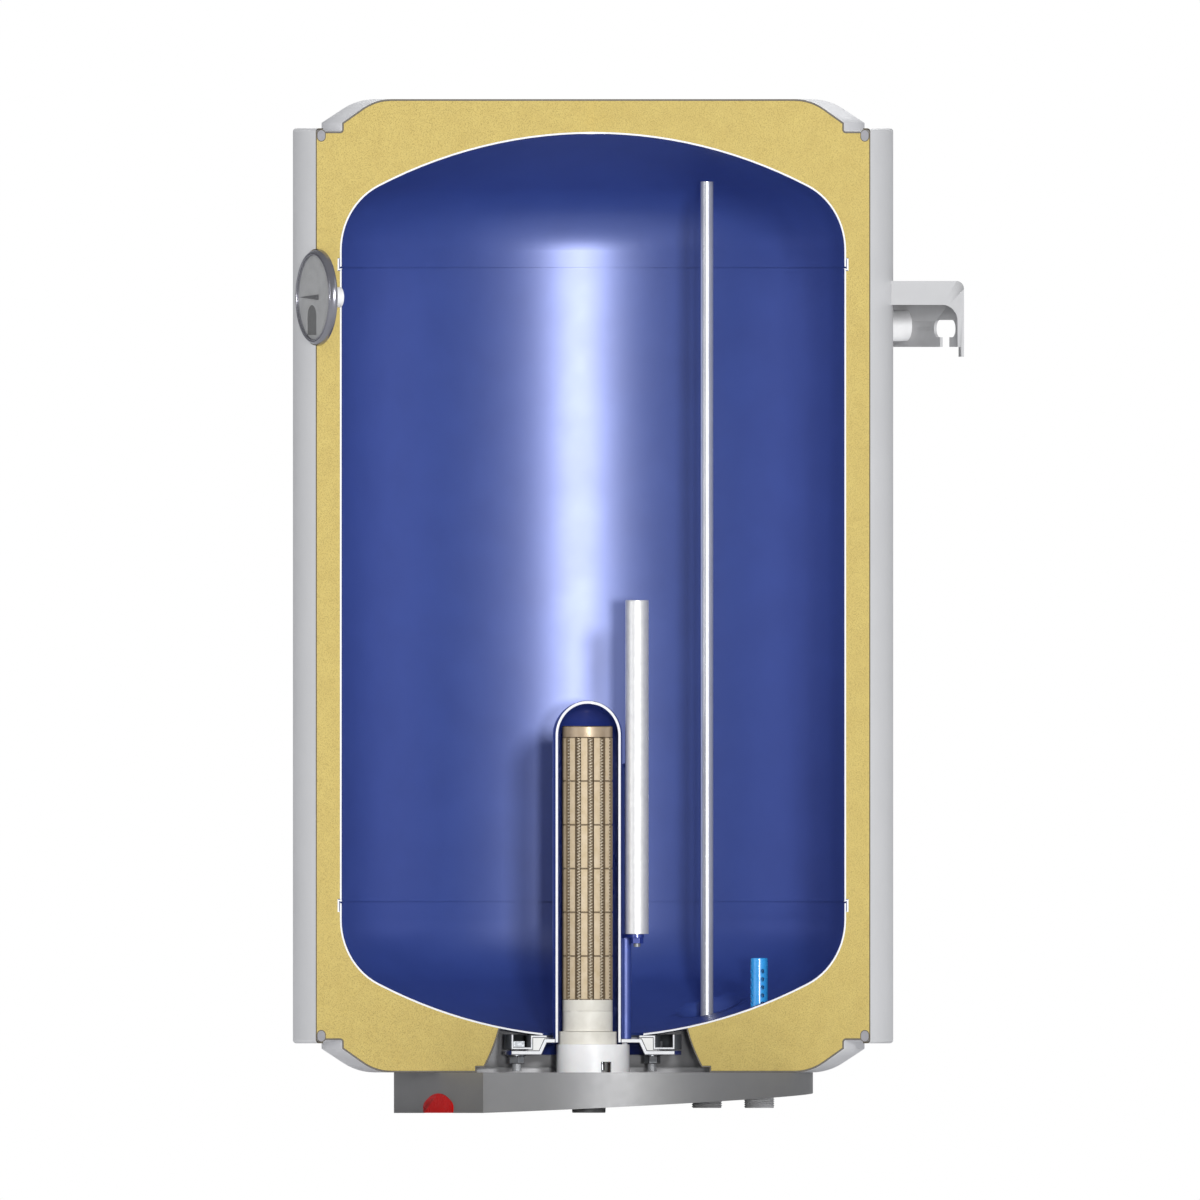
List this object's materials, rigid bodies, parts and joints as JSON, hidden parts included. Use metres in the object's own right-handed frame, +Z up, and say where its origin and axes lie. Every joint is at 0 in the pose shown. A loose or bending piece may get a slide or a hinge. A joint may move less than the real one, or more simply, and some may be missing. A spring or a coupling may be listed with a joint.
{
  "type": "storage water heater",
  "caption": "Wall-hung electric storage water heater shown in section: tank, foam, dry heating element, anode, pipes, thermostat and dial thermometer.",
  "frame": {"origin": "on the wall face of the bracket, midway between the two hanging slots, at their height", "axes": "+Z up along the tank's axis, +Y into the wall, -Y towards the dial, +X to the right seen from the front"},
  "size_m": [0.4473, 0.5635, 0.885],
  "materials": {
    "jacket_paint": "satin",
    "cover_plastic": "satin",
    "insulating_foam": "matte",
    "tank_enamel": "glossy",
    "bare_steel": "satin",
    "plated_steel": "satin",
    "bright_tube": "polished",
    "bracket_steel": "satin",
    "gasket_rubber": "matte",
    "ceramic_beige": "matte",
    "ceramic_white": "matte",
    "heating_wire": "satin",
    "white_plastic": "satin",
    "blue_plastic": "glossy",
    "anode_metal": "matte",
    "copper_tube": "satin",
    "housing_plastic": "glossy",
    "dark_plastic": "satin",
    "lens_red": "glossy",
    "button_red": "satin",
    "dial_grey": "satin",
    "dial_bezel_metal": "polished",
    "pointer_black": "matte",
    "clear_lens": "clear"
  },
  "bodies": {
    "heater": {"outer_jacket": "jacket_paint", "top_cover": "cover_plastic", "bottom_cover": "cover_plastic", "foam_insulation": "insulating_foam", "tank_shell": "tank_enamel", "tank_top_head": "tank_enamel", "tank_bottom_head": "tank_enamel", "flange_ring": "bare_steel", "flange_gasket": "gasket_rubber", "flange_plate": "tank_enamel", "flange_bolts": "plated_steel", "flange_washers": "plated_steel", "flange_nuts": "plated_steel", "element_sheath": "tank_enamel", "ceramic_top_disc": "ceramic_beige", "ceramic_base": "ceramic_white", "ceramic_collar": "ceramic_white", "element_rod": "bare_steel", "heating_spirals": "heating_wire", "element_holder": "white_plastic", "element_terminals": "plated_steel", "sensor_pocket": "tank_enamel", "sensor_bulb": "copper_tube", "sensor_capillary": "copper_tube", "anode_bracket": "tank_enamel", "anode_rod": "anode_metal", "anode_stud": "plated_steel", "anode_nut": "plated_steel", "hot_nipple": "plated_steel", "hot_pipe_bush": "white_plastic", "hot_outlet_pipe": "bright_tube", "cold_nipple": "plated_steel", "cold_diffuser": "blue_plastic", "wall_bracket": "bracket_steel", "bracket_post": "bare_steel", "control_housing": "housing_plastic", "housing_screws": "plated_steel", "pilot_lens": "lens_red", "cable_gland": "dark_plastic", "gland_nut": "dark_plastic", "thermostat_body": "white_plastic", "safety_cutout": "dark_plastic", "terminal_block": "white_plastic", "dial_stem": "bare_steel", "dial_case": "bare_steel", "dial_face": "dial_grey", "dial_lens": "clear_lens", "dial_bezel": "dial_bezel_metal", "ceramic_bead_1": "ceramic_beige", "ceramic_bead_2": "ceramic_beige", "ceramic_bead_3": "ceramic_beige", "ceramic_bead_4": "ceramic_beige", "ceramic_bead_5": "ceramic_beige", "ceramic_bead_6": "ceramic_beige"},
    "knob": {"thermostat_knob": "dark_plastic", "thermostat_spindle": "plated_steel"},
    "pointer": {"dial_pointer": "pointer_black"},
    "button": {"reset_button": "button_red"}
  },
  "joints": [
    {"name": "knob_turn", "type": "hinge", "parent": "heater", "child": "knob", "pos_m": [0, -0.3023, -0.6793], "axis": [0, 0, -1], "range_deg": [-135, 135]},
    {"name": "pointer_swing", "type": "hinge", "parent": "heater", "child": "pointer", "pos_m": [0, -0.5613, 0.0274], "axis": [0, 1, 0], "range_deg": [-45, 225], "stiffness_Nm_per_rad": 0.005},
    {"name": "button_press", "type": "slide", "parent": "heater", "child": "button", "axis": [0, 0, 1], "range_m": [0, 0.0015], "stiffness_N_per_m": 300, "springref_m": -0.001}
  ]
}
